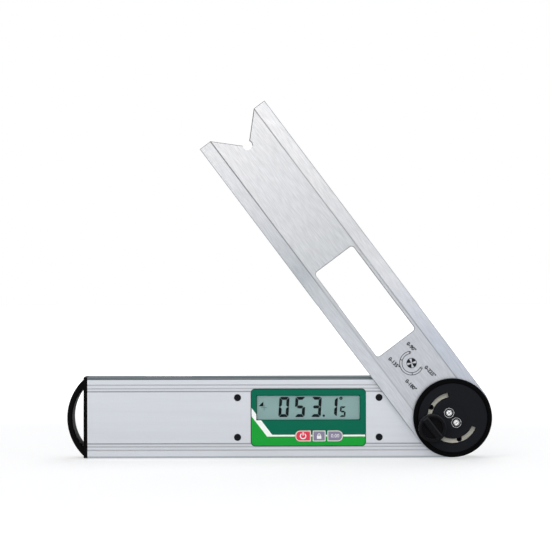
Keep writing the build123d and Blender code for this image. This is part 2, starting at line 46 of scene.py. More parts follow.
# Places that the CAD model gives, in metres
turnOf = {j["name"]: j for j in frame["joints"]}
pivot = Vector(turnOf["blade_hinge"]["pos_m"])
bladeAngle = 126.85       # degrees from the base arm's right, seen from the front
screwOffset = 0.0041      # hub screws, from the pivot along the blade
filmLow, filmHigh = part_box("display_film")
displayCentre = (filmLow + filmHigh) / 2


# Colours, nodes, materials and meshes
def linear(hexValue):     # sRGB hex to linear RGBA
    parts = [int(hexValue[i:i + 2], 16) / 255 for i in (1, 3, 5)]
    return tuple(c / 12.92 if c <= 0.04045 else ((c + 0.055) / 1.055) ** 2.4 for c in parts) + (1.0,)


def addNode(tree, kind, settings=None, links=None):
    node = tree.nodes.new("ShaderNode" + kind)
    for key, value in (settings or {}).items():
        if key == "stops":        # a colour ramp's places, from low to high, with their colours
            ramp = node.color_ramp.elements
            for index, (position, hexValue) in enumerate(value):
                stop = ramp[index] if index < 2 else ramp.new(position)
                stop.position, stop.color = position, linear(hexValue)
        elif isinstance(key, int) or key in node.inputs:
            node.inputs[key].default_value = value
        else:
            setattr(node, key, value)
    for key, source in (links or {}).items():
        tree.links.new(source, node.inputs[key])
    return node


def newMaterial(name, settings):
    material = bpy.data.materials.new(name)
    material.use_nodes = True
    tree = material.node_tree
    tree.nodes.clear()
    shader = addNode(tree, "BsdfPrincipled", settings)
    addNode(tree, "OutputMaterial", None, {"Surface": shader.outputs[0]})
    material.diffuse_color = shader.inputs["Base Color"].default_value
    return material, tree, shader


# Shares of the noise from which a grain's colour and its roughness run, its lumpiness and its relief
grain = {"tone": (0.32, 0.68), "reach": (0.3, 0.7), "lumps": 0.55, "relief": 0.5}


def grainOn(tree, shader, size, colours, rough=None, bump=0.0, turn=0.0, detail=3.0):
    # size is the grain's length, depth and height in metres, before it is turned about Y
    place = addNode(tree, "TexCoord")
    turned = addNode(tree, "Mapping", {"Rotation": (0, radians(turn), 0)}, {0: place.outputs["Object"]})
    sized = addNode(tree, "Mapping", {"Scale": [1 / s for s in size]}, {0: turned.outputs[0]})
    noise = addNode(tree, "TexNoise", {"Scale": 1.0, "Detail": detail, "Roughness": grain["lumps"]},
                    {0: sized.outputs[0]})
    tone = addNode(tree, "ValToRGB", {"stops": tuple(zip(grain["tone"], colours))}, {0: noise.outputs[0]})
    tree.links.new(tone.outputs[0], shader.inputs["Base Color"])
    if rough:
        tree.links.new(spread(tree, noise, rough), shader.inputs["Roughness"])
    if bump:
        relief = addNode(tree, "Bump", {"Strength": grain["relief"], "Distance": bump},
                         {"Height": noise.outputs[0]})
        tree.links.new(relief.outputs[0], shader.inputs["Normal"])
    return tone, noise


def spread(tree, noise, ends):     # the noise as a number between two ends
    low, high = grain["reach"]
    amount = addNode(tree, "MapRange", {1: low, 2: high, 3: ends[0], 4: ends[1]}, {0: noise.outputs[0]})
    return amount.outputs[0]


def dress(material, *names):
    for name in names:
        mesh = nodes[name].data
        if not mesh.materials:
            mesh.materials.append(material)
        for index in range(len(mesh.materials)):
            mesh.materials[index] = material


def addPiece(name, bm, material, body):
    bmesh.ops.recalc_face_normals(bm, faces=bm.faces)
    mesh = bpy.data.meshes.new(name)
    bm.to_mesh(mesh)
    bm.free()
    piece = bpy.data.objects.new(name, mesh)
    scene.collection.objects.link(piece)
    mesh.materials.append(material)
    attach(piece, body)
    return piece


def flatPiece(name, shapes, centre, angle, face, thickness, material, body):
    # Thin plates in front of y = face. A shape is one loop of (right, up) in mm, or an outer and inner one.
    # Face and thickness are in metres here and in every dictionary.
    a = radians(angle)

    def point(bm, uv, y):
        u, v = uv[0] * mm, uv[1] * mm
        return bm.verts.new((centre.x + u * cos(a) - v * sin(a), y, centre.z + u * sin(a) + v * cos(a)))

    bm = bmesh.new()
    for shape in shapes:
        loops = shape if isinstance(shape, tuple) else (shape,)
        front = [[point(bm, uv, face - thickness) for uv in loop] for loop in loops]
        back = [[point(bm, uv, face) for uv in loop] for loop in loops]
        count = len(loops[0])
        for near, far in zip(front, back):
            for i in range(count):
                j = (i + 1) % count
                bm.faces.new((near[i], far[i], far[j], near[j]))
        if len(loops) == 1:
            bm.faces.new(front[0])
            bm.faces.new(back[0])
        else:
            for outer, inner in (front, back):
                for i in range(count):
                    j = (i + 1) % count
                    bm.faces.new((outer[i], outer[j], inner[j], inner[i]))
    return addPiece(name, bm, material, body)


def pointAt(radius, angle, centre=(0, 0)):
    turn = radians(angle)
    return centre[0] + radius * cos(turn), centre[1] + radius * sin(turn)


def arcPoints(radius, start, stop, steps, centre=(0, 0)):
    return [pointAt(radius, start + (stop - start) * i / steps, centre) for i in range(steps + 1)]


def arcBand(inner, outer, start, stop, steps=24, centre=(0, 0)):
    return arcPoints(outer, start, stop, steps, centre) + arcPoints(inner, stop, start, steps, centre)


def fullCircle(radius, steps=24, centre=(0, 0)):
    return arcPoints(radius, 0, 360 - 360 / steps, steps - 1, centre)


def fullRing(inner, outer, steps=32, centre=(0, 0)):
    return fullCircle(outer, steps, centre), fullCircle(inner, steps, centre)


def oblong(left, bottom, right, top):
    return [(left, bottom), (right, bottom), (right, top), (left, top)]


figureShare = 0.69     # height of a figure as a share of the font size


def textPiece(name, words, height, centre, angle, face, thickness, material, body, weight=0.0):
    # height is the height of a figure and weight thickens its strokes, both in mm
    mesh = makeText(name, words, height, thickness, weight)
    a = radians(angle)
    right, up = Vector((cos(a), 0, sin(a))), Vector((-sin(a), 0, cos(a)))
    place = Matrix((right, up, Vector((0, -1, 0)))).transposed().to_4x4()
    place.translation = Vector((centre.x, face - thickness / 2, centre.z))
    mesh.transform(place)
    piece = bpy.data.objects.new(name, mesh)
    scene.collection.objects.link(piece)
    mesh.materials.append(material)
    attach(piece, body)
    return piece


def makeText(name, words, height, thickness, weight):
    curve = bpy.data.curves.new(name + "Curve", "FONT")
    curve.body = words
    curve.align_x, curve.align_y = "CENTER", "CENTER"
    curve.size = height * mm / figureShare
    curve.extrude = thickness / 2
    curve.offset = weight * mm
    curve.resolution_u = 4
    holder = bpy.data.objects.new(name + "Curve", curve)
    scene.collection.objects.link(holder)
    bpy.context.view_layer.update()
    mesh = bpy.data.meshes.new_from_object(holder.evaluated_get(bpy.context.evaluated_depsgraph_get()))
    bpy.data.objects.remove(holder)
    bpy.data.curves.remove(curve)
    mesh.name = name
    return mesh


# Camera, square on to the front of the arms
camera = {"distance": 1.63, "right": 0.0052, "height": 0.1242, "lens": 157.2, "roll": 0.13, "tilt": 90.0}
lensData = bpy.data.cameras.new("camera")
lensData.lens = camera["lens"]
cameraObject = bpy.data.objects.new("camera", lensData)
cameraObject.location = (camera["right"], filmLow.y - camera["distance"], camera["height"])
cameraObject.rotation_euler = (radians(camera["tilt"]), radians(camera["roll"]), 0)
scene.collection.objects.link(cameraObject)
scene.camera = cameraObject
print("camera placed")

# Lamps, world and floor
studio = {
    "keyPower": 13.0, "keyAt": (-0.9, -1.7, 1.5), "keySize": 1.3,
    "fillPower": 5.0, "fillAt": (1.5, -1.5, 0.7), "fillSize": 1.2,
    "backPower": 13.0, "backAt": (0.3, 1.6, 1.5), "backSize": 1.4,
    "frontPower": 24.0, "frontAt": (0.0, -2.4, 0.4), "frontSize": 1.1,
    "aim": (0.02, 0, 0.1), "worldShade": "#a6a8ab",
}
for lamp in ("key", "fill", "back", "front"):
    lampData = bpy.data.lights.new(lamp, "AREA")
    lampData.energy = studio[lamp + "Power"]
    lampData.size = studio[lamp + "Size"]
    lampObject = bpy.data.objects.new(lamp, lampData)
    lampObject.location = studio[lamp + "At"]
    towards = Vector(studio["aim"]) - lampObject.location
    lampObject.rotation_euler = towards.to_track_quat("-Z", "Y").to_euler()
    lampObject.visible_glossy = lamp != "front"     # the front lamp makes no hot spot on the metal
    scene.collection.objects.link(lampObject)


def shownTo(tree):     # 1 for what the camera sees, straight on or in a reflection or through glass
    rays = addNode(tree, "LightPath")
    shown = addNode(tree, "Math", {"operation": "ADD", "use_clamp": True},
                    {0: rays.outputs["Is Camera Ray"], 1: rays.outputs["Is Glossy Ray"]})
    shown = addNode(tree, "Math", {"operation": "ADD", "use_clamp": True},
                    {0: shown.outputs[0], 1: rays.outputs["Is Transmission Ray"]})
    return shown.outputs[0]


world = bpy.data.worlds.new("studio")
scene.world = world
world.use_nodes = True
worldTree = world.node_tree
worldTree.nodes.clear()
dim = addNode(worldTree, "Background", {"Color": linear(studio["worldShade"])})
white = addNode(worldTree, "Background", {"Color": (1, 1, 1, 1)})
both = addNode(worldTree, "MixShader", None, {0: shownTo(worldTree), 1: dim.outputs[0], 2: white.outputs[0]})
addNode(worldTree, "OutputWorld", None, {"Surface": both.outputs[0]})

# The floor's own glow is weakest near the object, so that the shadow shows, and full white further out
paper = {"shades": ("#cccccc", "#c8c8c8"), "fibre": 0.004, "glow": (0.5, 1.0), "glowFrom": 0.35,
         "glowTo": 1.1, "halfSize": 8.0, "drop": 0.0003}


def paperFloor():
    # Paper, rolled and matt: white, with a faint cloud of fibres, and it keeps the shadow under the object
    material, tree, shader = newMaterial("paper_sweep_matt", {"Roughness": 0.8, "Specular IOR Level": 0.1})
    grainOn(tree, shader, (paper["fibre"], paper["fibre"], paper["fibre"]), paper["shades"])
    place = addNode(tree, "TexCoord")
    far = addNode(tree, "VectorMath", {"operation": "LENGTH"}, {0: place.outputs["Object"]})
    glow = addNode(tree, "MapRange",
                   {"interpolation_type": "SMOOTHSTEP", 1: paper["glowFrom"], 2: paper["glowTo"],
                    3: paper["glow"][0], 4: paper["glow"][1]}, {0: far.outputs["Value"]})
    amount = addNode(tree, "Math", {"operation": "MULTIPLY"}, {0: glow.outputs[0], 1: shownTo(tree)})
    light = addNode(tree, "Emission", {"Color": (1, 1, 1, 1)}, {"Strength": amount.outputs[0]})
    total = addNode(tree, "AddShader", None, {0: shader.outputs[0], 1: light.outputs[0]})
    tree.links.new(total.outputs[0], tree.nodes["Material Output"].inputs["Surface"])
    return material


floorMesh = bpy.data.meshes.new("floor")
half = paper["halfSize"]
corners = [(-half, -half, 0), (half, -half, 0), (half, half, 0), (-half, half, 0)]
floorMesh.from_pydata(corners, [], [(0, 1, 2, 3)])
floor = bpy.data.objects.new("floor", floorMesh)
floor.location.z = -paper["drop"]
scene.collection.objects.link(floor)
floorMesh.materials.append(paperFloor())
print("lamps, world and floor set")


# Materials
def inBand(tree, value, low, high):     # 1 where value lies between low and high
    above = addNode(tree, "Math", {"operation": "GREATER_THAN", 1: low}, {0: value})
    below = addNode(tree, "Math", {"operation": "LESS_THAN", 1: high}, {0: value})
    both = addNode(tree, "Math", {"operation": "MULTIPLY"}, {0: above.outputs[0], 1: below.outputs[0]})
    return both.outputs[0]


def darkened(tree, colour, mask, keep):     # colour times keep where mask is 1
    amount = addNode(tree, "MapRange", {3: 1.0, 4: keep}, {0: mask})
    return addNode(tree, "VectorMath", {"operation": "SCALE"}, {0: colour, 3: amount.outputs[0]}).outputs[0]


def paintedFacingLight(tree, colour, stops, start):
    # Painted light and shade where the surface turns away from the front and back: a tone set by how
    # far up it faces. It gives the colour, where the painted tone shows, and how far up the surface faces.
    place = addNode(tree, "TexCoord")
    facing = addNode(tree, "SeparateXYZ", None, {0: place.outputs["Normal"]})
    flat = addNode(tree, "Math", {"operation": "ABSOLUTE"}, {0: facing.outputs["Y"]})
    mask = addNode(tree, "MapRange", {1: start[0], 2: start[1], 3: 0.0, 4: 1.0}, {0: flat.outputs[0]})
    upward = addNode(tree, "MapRange", {1: -1.0, 2: 1.0}, {0: facing.outputs["Z"]})
    tone = addNode(tree, "ValToRGB", {"stops": stops}, {0: upward.outputs[0]})
    mixed = addNode(tree, "Mix", {"data_type": "RGBA"}, {0: mask.outputs[0], 6: colour, 7: tone.outputs[0]})
    return mixed.outputs[2], mask.outputs[0], upward.outputs[0]


def anodisedAluminium():
    # Extruded aluminium, blasted and satin anodised: an even soft grey with hardly a grain. Painted shade
    # makes the narrow sides, the brow along the top edge and the floors of the grooves darker than the broad
    # faces, and the top loses its metal shine so that its painted shade shows.
    arm = {"face": ("#cdd0d6", "#d1d4da"), "grain": (0.08, 0.003, 0.003), "rough": (0.42, 0.48),
           "bump": 0.000004,
           "sides": ((0.0, "#bcc3ca"), (0.5, "#9ea5a9"), (0.8, "#4b5255"), (1.0, "#8a9295")),
           "sideStart": (0.995, 0.96), "brow": 0.0256, "paintedBrowShade": "#596164",
           "flatShadeFrom": 0.5, "flatShadeTo": 0.75, "flatShadeShare": 0.95, "faceDepth": 0.01295,
           "grooves": ((0.0170, 0.0184, 0.58), (0.0190, 0.0228, 0.76))}     # from, to, share of light kept
    material, tree, shader = newMaterial("aluminium_satin_anodised",
                                         {"Roughness": 0.45, "Specular IOR Level": 0.0})
    tone = grainOn(tree, shader, arm["grain"], arm["face"], arm["rough"], arm["bump"])[0]
    place = addNode(tree, "TexCoord")
    at = addNode(tree, "VectorMath", {"operation": "SUBTRACT", 1: pivot}, {0: place.outputs["Object"]})
    rise = addNode(tree, "SeparateXYZ", None, {0: at.outputs[0]})
    # Painted shade: a dark line along the brow just below the top edge
    brow = addNode(tree, "Math", {"operation": "GREATER_THAN", 1: arm["brow"]}, {0: rise.outputs["Z"]})
    face = addNode(tree, "Mix", {"data_type": "RGBA", 7: linear(arm["paintedBrowShade"])},
                   {0: brow.outputs[0], 6: tone.outputs[0]})
    at = addNode(tree, "VectorMath", {"operation": "ABSOLUTE"}, {0: at.outputs[0]})
    at = addNode(tree, "SeparateXYZ", None, {0: at.outputs[0]})
    cut = inBand(tree, at.outputs["Y"], 0.0, arm["faceDepth"])
    # Painted shade on the top and the narrow sides, by how far up they face
    colour, side, upward = paintedFacingLight(tree, face.outputs[2], arm["sides"], arm["sideStart"])
    # The top and upper sides lose their metal shine, so that the painted shade shows there
    dull = addNode(tree, "MapRange", {1: arm["flatShadeFrom"], 2: arm["flatShadeTo"], 3: 0.0, 4: arm["flatShadeShare"]},
                   {0: upward})
    dull = addNode(tree, "Math", {"operation": "MULTIPLY"}, {0: dull.outputs[0], 1: side})
    shine = addNode(tree, "Math", {"operation": "SUBTRACT", 0: 1.0}, {1: dull.outputs[0]})
    tree.links.new(shine.outputs[0], shader.inputs["Metallic"])
    # Painted shade on the floors of the grooves
    for low, high, keep in arm["grooves"]:
        band = inBand(tree, at.outputs["Z"], low, high)
        line = addNode(tree, "Math", {"operation": "MULTIPLY"}, {0: cut, 1: band})
        colour = darkened(tree, colour, line.outputs[0], keep)
    tree.links.new(colour, shader.inputs["Base Color"])
    return material


def brushedAluminium():
    # Aluminium, extruded and brushed along its length: fine streaks. Painted light makes the plate paler
    # towards the tip, the right rail brighter and the left one darker, and painted shade darkens the sides
    # and puts a dark line in each groove. The real scratches are about 0.1 mm wide, and are drawn 0.5 mm
    # wide.
    plate = {"streaks": ("#f7f7f7", "#ffffff"), "grain": (0.008, 0.0005, 0.0005), "detail": 4.0,
             "shimmer": (0.91, 1.09), "rough": (0.32, 0.42), "bump": 0.00001, "length": 0.248,
             "paintedWebLight": ((0.2, "#bbbec4"), (0.5, "#bcbfc2"), (0.72, "#cbcccf"), (0.95, "#dbdbdd")),
             "leftRailPaintedLight": ((0.25, "#c3c6cc"), (0.48, "#bbbfc4"), (0.56, "#aeb3b8"), (0.78, "#cacbcf"),
                          (0.95, "#d7d8da")),
             "rightRailPaintedLight": ((0.2, "#b9bec8"), (0.42, "#cfd0d4"), (0.57, "#c9cacd"), (0.75, "#d6d6d8"),
                           (0.95, "#e2e2e4")),
             "groove": (0.0180, 0.0188), "faces": (-0.01805, -0.01415),
             "leftGroovePaintedShade": ((0.19, "#ededed"), (0.47, "#e7e7e7"), (0.53, "#cfcfcf"), (0.77, "#bababa"),
                            (0.9, "#a1a1a1")),
             "rightGroovePaintedShade": ((0.19, "#dadada"), (0.3, "#cfcfcf"), (0.47, "#dedede"), (0.59, "#cccccc"),
                             (0.77, "#d6d6d6"), (0.9, "#bfbfbf")),
             "sides": ((0.0, "#a9aeb4"), (0.5, "#9da2a8"), (1.0, "#8d9399")), "sideStart": (0.97, 0.8)}
    material, tree, shader = newMaterial("aluminium_long_grain_brushed", {"Metallic": 1.0})
    streaks, noise = grainOn(tree, shader, plate["grain"], plate["streaks"], plate["rough"], plate["bump"],
                             bladeAngle, plate["detail"])
    place = addNode(tree, "TexCoord")
    at = addNode(tree, "VectorMath", {"operation": "SUBTRACT", 1: (pivot.x, 0, pivot.z)},
                 {0: place.outputs["Object"]})
    along = addNode(tree, "Mapping", {"Rotation": (0, radians(bladeAngle), 0)}, {0: at.outputs[0]})
    split = addNode(tree, "SeparateXYZ", None, {0: along.outputs[0]})
    share = addNode(tree, "MapRange", {1: 0.0, 2: plate["length"]}, {0: split.outputs["X"]})
    # Painted light: the web grows paler from the pivot towards the tip
    colour = addNode(tree, "ValToRGB", {"stops": plate["paintedWebLight"]}, {0: share.outputs[0]}).outputs[0]
    middle = sum(plate["groove"]) / 2
    # Painted light: a brighter right rail and a darker left one
    for rail, low, high in (("leftRailPaintedLight", middle, 1.0), ("rightRailPaintedLight", -1.0, -middle)):
        tone = addNode(tree, "ValToRGB", {"stops": plate[rail]}, {0: share.outputs[0]})
        mask = inBand(tree, split.outputs["Z"], low, high)
        railed = addNode(tree, "Mix", {"data_type": "RGBA"}, {0: mask, 6: colour, 7: tone.outputs[0]})
        colour = railed.outputs[2]
    brushed = addNode(tree, "Mix", {"data_type": "RGBA", "blend_type": "MULTIPLY", 0: 1.0},
                      {6: colour, 7: streaks.outputs[0]})
    lit = addNode(tree, "VectorMath", {"operation": "SCALE"},
                  {0: brushed.outputs[2], 3: spread(tree, noise, plate["shimmer"])})
    # Painted shade on the blade's sides and edges
    colour = paintedFacingLight(tree, lit.outputs[0], plate["sides"], plate["sideStart"])[0]
    cut = inBand(tree, split.outputs["Y"], *plate["faces"])
    low, high = plate["groove"]
    # Painted shade: a dark line in each groove
    for groove, start, stop in (("leftGroovePaintedShade", low, high), ("rightGroovePaintedShade", -high, -low)):
        band = inBand(tree, split.outputs["Z"], start, stop)
        line = addNode(tree, "Math", {"operation": "MULTIPLY"}, {0: cut, 1: band})
        tone = addNode(tree, "ValToRGB", {"stops": plate[groove]}, {0: share.outputs[0]})
        shaded = addNode(tree, "Mix", {"data_type": "RGBA", "blend_type": "MULTIPLY"},
                         {0: line.outputs[0], 6: colour, 7: tone.outputs[0]})
        colour = shaded.outputs[2]
    tree.links.new(colour, shader.inputs["Base Color"])
    return material


def printedFilm():
    # Polycarbonate film printed on its back: flat greens and a white stripe under a satin skin, with a
    # painted shade line at the film's edge and round the window. Places are in mm from the display's middle.
    film = {"dark": "#07684f", "bright": "#1fa13b", "stripe": "#fbfefa", "edge": "#0d4535",
            "lean": (0.793, 0, 0.610), "leanAt": 26.6, "stripeWidth": 3.5,
            "lineTop": -11.75, "lineWidth": 1.2, "edgeShadeWidth": 0.55, "windowShadeWidth": 0.45,
            "window": (34.9, 8.15), "windowAt": 6.65, "round": 3.0,
            "speck": 0.8, "speckTone": (0.95, 1.0), "speckDetail": 2.0, "relief": 0.3, "bump": 0.00001}
    material, tree, shader = newMaterial("polycarbonate_film_printed",
                                         {"IOR": 1.58, "Roughness": 0.35, "Specular IOR Level": 0.06})
    place = addNode(tree, "TexCoord")
    at = addNode(tree, "Mapping", {"Location": -displayCentre / mm, "Scale": (1 / mm, 1 / mm, 1 / mm)},
                 {0: place.outputs["Object"]})
    split = addNode(tree, "SeparateXYZ", None, {0: at.outputs[0]})
    lean = addNode(tree, "VectorMath", {"operation": "DOT_PRODUCT", 1: film["lean"]}, {0: at.outputs[0]})
    masks = []
    for grow in (0, 1):
        slope = addNode(tree, "Math", {"operation": "ADD", 1: film["leanAt"] + grow * film["stripeWidth"]},
                        {0: lean.outputs["Value"]})
        line = addNode(tree, "Math", {"operation": "ADD", 1: -film["lineTop"] + grow * film["lineWidth"]},
                       {0: split.outputs["Z"]})
        least = addNode(tree, "Math", {"operation": "MINIMUM"}, {0: slope.outputs[0], 1: line.outputs[0]})
        masks.append(addNode(tree, "Math", {"operation": "GREATER_THAN", 1: 0.0}, {0: least.outputs[0]}))
    stripe = addNode(tree, "Mix", {"data_type": "RGBA", 6: linear(film["bright"]), 7: linear(film["stripe"])},
                     {0: masks[1].outputs[0]})
    inner = addNode(tree, "Mix", {"data_type": "RGBA", 7: linear(film["dark"])},
                    {0: masks[0].outputs[0], 6: stripe.outputs[2]})
    half = (filmHigh - filmLow) / 2 / mm
    plain = addNode(tree, "VectorMath", {"operation": "MULTIPLY", 1: (1, 0, 1)}, {0: at.outputs[0]})
    outside = addNode(tree, "VectorMath", {"operation": "ABSOLUTE"}, {0: plain.outputs[0]})
    outside = addNode(tree, "VectorMath", {"operation": "SUBTRACT",
                                           1: (half.x - film["round"], 0, half.z - film["round"])},
                      {0: outside.outputs[0]})
    outside = addNode(tree, "VectorMath", {"operation": "MAXIMUM", 1: (0, 0, 0)}, {0: outside.outputs[0]})
    outside = addNode(tree, "VectorMath", {"operation": "LENGTH"}, {0: outside.outputs[0]})
    # Painted shade: a dark line round the film's edge
    rim = addNode(tree, "Math", {"operation": "GREATER_THAN", 1: film["round"] - film["edgeShadeWidth"]},
                  {0: outside.outputs["Value"]})
    wide, tall = film["window"]
    near = addNode(tree, "VectorMath", {"operation": "SUBTRACT", 1: (0, 0, film["windowAt"])},
                   {0: plain.outputs[0]})
    near = addNode(tree, "VectorMath", {"operation": "ABSOLUTE"}, {0: near.outputs[0]})
    near = addNode(tree, "VectorMath", {"operation": "SUBTRACT", 1: (wide, 0, tall)}, {0: near.outputs[0]})
    near = addNode(tree, "VectorMath", {"operation": "MAXIMUM", 1: (0, 0, 0)}, {0: near.outputs[0]})
    near = addNode(tree, "VectorMath", {"operation": "LENGTH"}, {0: near.outputs[0]})
    # Painted shade: a dark line round the window
    windowShade = addNode(tree, "Math", {"operation": "LESS_THAN", 1: film["windowShadeWidth"]},
                   {0: near.outputs["Value"]})
    dark = addNode(tree, "Math", {"operation": "MAXIMUM"}, {0: rim.outputs[0], 1: windowShade.outputs[0]})
    edgeShaded = addNode(tree, "Mix", {"data_type": "RGBA", 7: linear(film["edge"])},
                    {0: dark.outputs[0], 6: inner.outputs[2]})
    specks = 1 / (film["speck"] * mm)
    speck = addNode(tree, "Mapping", {"Scale": (specks, specks, specks)}, {0: place.outputs["Object"]})
    noise = addNode(tree, "TexNoise", {"Scale": 1.0, "Detail": film["speckDetail"]}, {0: speck.outputs[0]})
    final = addNode(tree, "VectorMath", {"operation": "SCALE"},
                    {0: edgeShaded.outputs[2], 3: spread(tree, noise, film["speckTone"])})
    tree.links.new(final.outputs[0], shader.inputs["Base Color"])
    relief = addNode(tree, "Bump", {"Strength": film["relief"], "Distance": film["bump"]},
                     {"Height": noise.outputs[0]})
    tree.links.new(relief.outputs[0], shader.inputs["Normal"])
    return material


def grainy(name, low, high, size, settings, rough=None, bump=0.0):
    material, tree, shader = newMaterial(name, settings)
    grainOn(tree, shader, size, (low, high), rough, bump)
    return material


pebble = (0.0008, 0.0008, 0.0008)     # a spark-textured mould's pebbles, drawn coarser than life to show
pebbleDepth = 0.00002


def nylonPaintedEdgeLight(name, low, high):
    # Glass-filled nylon from a spark-textured mould: dull black, with painted light on the edges that is
    # paler where they face up
    nylon = {"paintedEdgeLight": ((0.0, "#101012"), (0.5, "#202124"), (1.0, "#333437")), "paintedEdgeStart": (0.95, 0.8),
             "rough": (0.4, 0.5)}
    material, tree, shader = newMaterial(name, {"Specular IOR Level": 0.02, "IOR": 1.53})
    tone = grainOn(tree, shader, pebble, (low, high), nylon["rough"], pebbleDepth)[0]
    colour = paintedFacingLight(tree, tone.outputs[0], nylon["paintedEdgeLight"], nylon["paintedEdgeStart"])[0]
    tree.links.new(colour, shader.inputs["Base Color"])
    return material


def screwNickel():
    # Steel, nickel plated and polished: mirror bright on top, with painted shade down its sides
    # and in its recess
    plated = {"top": ("#f0f1f3", "#fafafb"), "side": "#55565a", "sideStart": (0.6, 0.3),
              "rough": (0.16, 0.24), "recessShadeFrom": 0.0007, "recessShadeKeep": 0.5}
    material, tree, shader = newMaterial("steel_nickel_screw", {"Metallic": 0.85})
    tone = grainOn(tree, shader, even, plated["top"], plated["rough"])[0]
    sides = ((0.0, plated["side"]), (1.0, plated["side"]))
    colour = paintedFacingLight(tree, tone.outputs[0], sides, plated["sideStart"])[0]
    place = addNode(tree, "TexCoord")
    at = addNode(tree, "SeparateXYZ", None, {0: place.outputs["Object"]})
    # Painted shade in the screw's recess
    recessShade = inBand(tree, at.outputs["Y"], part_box("hub_screws")[0].y + plated["recessShadeFrom"], 0.0)
    tree.links.new(darkened(tree, colour, recessShade, plated["recessShadeKeep"]), shader.inputs["Base Color"])
    return material


def hubBlack():
    # Acetal, turned: a shiny rim round a duller dish with fine turning rings
    hub = {"dish": "#1e1f23", "dishLow": "#191a1e", "rim": "#040405", "dishRadius": 0.0232,
           "dishRough": 0.55, "rimRough": 0.3, "ringPitch": 0.0007, "ringDetail": 2.0, "relief": 0.3,
           "bump": 0.00001}
    material, tree, shader = newMaterial("acetal_turned_black", {"Specular IOR Level": 0.03, "IOR": 1.48})
    place = addNode(tree, "TexCoord")
    about = addNode(tree, "Mapping", {"Location": (-pivot.x, 0, -pivot.z), "Scale": (1, 0, 1)},
                    {0: place.outputs["Object"]})
    radius = addNode(tree, "VectorMath", {"operation": "LENGTH"}, {0: about.outputs[0]})
    rings = addNode(tree, "TexNoise", {"noise_dimensions": "1D", "Scale": 1 / hub["ringPitch"],
                                       "Detail": hub["ringDetail"]}, {"W": radius.outputs["Value"]})
    dish = addNode(tree, "Mix", {"data_type": "RGBA", 6: linear(hub["dishLow"]), 7: linear(hub["dish"])},
                   {0: rings.outputs[0]})
    isRim = addNode(tree, "Math", {"operation": "GREATER_THAN", 1: hub["dishRadius"]},
                    {0: radius.outputs["Value"]})
    colour = addNode(tree, "Mix", {"data_type": "RGBA", 7: linear(hub["rim"])},
                     {0: isRim.outputs[0], 6: dish.outputs[2]})
    tree.links.new(colour.outputs[2], shader.inputs["Base Color"])
    rough = addNode(tree, "MapRange", {3: hub["dishRough"], 4: hub["rimRough"]}, {0: isRim.outputs[0]})
    tree.links.new(rough.outputs[0], shader.inputs["Roughness"])
    relief = addNode(tree, "Bump", {"Strength": hub["relief"], "Distance": hub["bump"]},
                     {"Height": rings.outputs[0]})
    tree.links.new(relief.outputs[0], shader.inputs["Normal"])
    return material


metal = {"Metallic": 1.0, "Roughness": 0.3}
plastic = {"IOR": 1.49, "Roughness": 0.45, "Specular IOR Level": 0.15}
even = (0.001, 0.001, 0.001)     # a grain of 1 mm, alike in every direction
broad = (0.01, 0.01, 0.01)

# Acrylic, cast and polished: clear with a faint grey-green body and sharp highlights
clearAcrylic = grainy("acrylic_polished", "#d5dfdc", "#e2ebe8", (0.006, 0.006, 0.006),
                      {"Alpha": 0.3, "IOR": 1.49, "Specular IOR Level": 0.5}, (0.04, 0.08))
# Spirit, dyed: a strong even yellow-green behind the acrylic
spirit = grainy("spirit_tinted", "#bfd93c", "#d0e555", (0.004, 0.004, 0.004),
                {"Alpha": 0.95, "IOR": 1.36, "Specular IOR Level": 0.4}, (0.05, 0.1))
# Glass-filled nylon from a spark-textured mould: dull black with a fine pebble
blackNylon = grainy("nylon_moulded_black", "#060607", "#0b0b0c", pebble,
                    {"Specular IOR Level": 0.03, "IOR": 1.53}, (0.5, 0.6), pebbleDepth)
# Steel, black oxide: a dark skin with a dull metal gleam
darkSteel = grainy("steel_black_oxide", "#141417", "#1e2024", even,
                   {"Metallic": 0.6, "Roughness": 0.4, "Specular IOR Level": 0.1}, (0.35, 0.5), 0.00001)
# Steel, nickel plated: bright and almost without a grain
brightNickel = grainy("steel_nickel_plated", "#e9eaec", "#f6f7f8", even, metal, (0.16, 0.24))
# Steel, turned: mid grey with fine tool lines round it
turnedSteel = grainy("steel_turned", "#b4b6b8", "#c6c8ca", (0.0004, 0.004, 0.0004), metal, (0.3, 0.4))
# Brass, dark brown and dull: painted shade down in the slot
darkBrass = grainy("brass_painted_shade", "#3a3122", "#46392a", even, {"Metallic": 0.7, "Roughness": 0.5},
                   (0.45, 0.55))
# Bronze, sintered: matt gold with open pores
bronze = grainy("bronze_sintered", "#a4834f", "#b5935c", even, metal, (0.4, 0.55), 0.00002)
# Polycarbonate, coated: almost clear, with a trace of smoke over the display
displayWindow = grainy("polycarbonate_window_coated", "#4a5452", "#525c5a", broad,
                       {"Alpha": 0.05, "IOR": 1.58, "Specular IOR Level": 0.1}, (0.12, 0.2))
# Acetal, moulded: cream and waxy
creamAcetal = grainy("acetal_moulded_cream", "#f1ecdc", "#f6f2e4", even, plastic, (0.4, 0.5))
# Display glass over a reflector: flat grey-green without a highlight
displayGlass = grainy("display_glass_reflective", "#93b3b1", "#97b7b5", broad, plastic, (0.3, 0.35))
# Silicone rubber with conductive layers: dark and paler stripes, 0.5 mm apart
rubber = grainy("rubber_conductive_striped", "#151517", "#3a3a3d", (0.0005, 1, 1), plastic)
# Glass-fibre laminate, lacquered: deep green with the weave's threads just showing
laminate = grainy("board_glass_laminate", "#0c4a2c", "#115a37", (0.0008, 0.0008, 0.004), plastic)
# Polyamide, moulded: plain dark grey switch bodies
switchPlastic = grainy("switch_moulded", "#1a1a1c", "#242426", even, plastic)
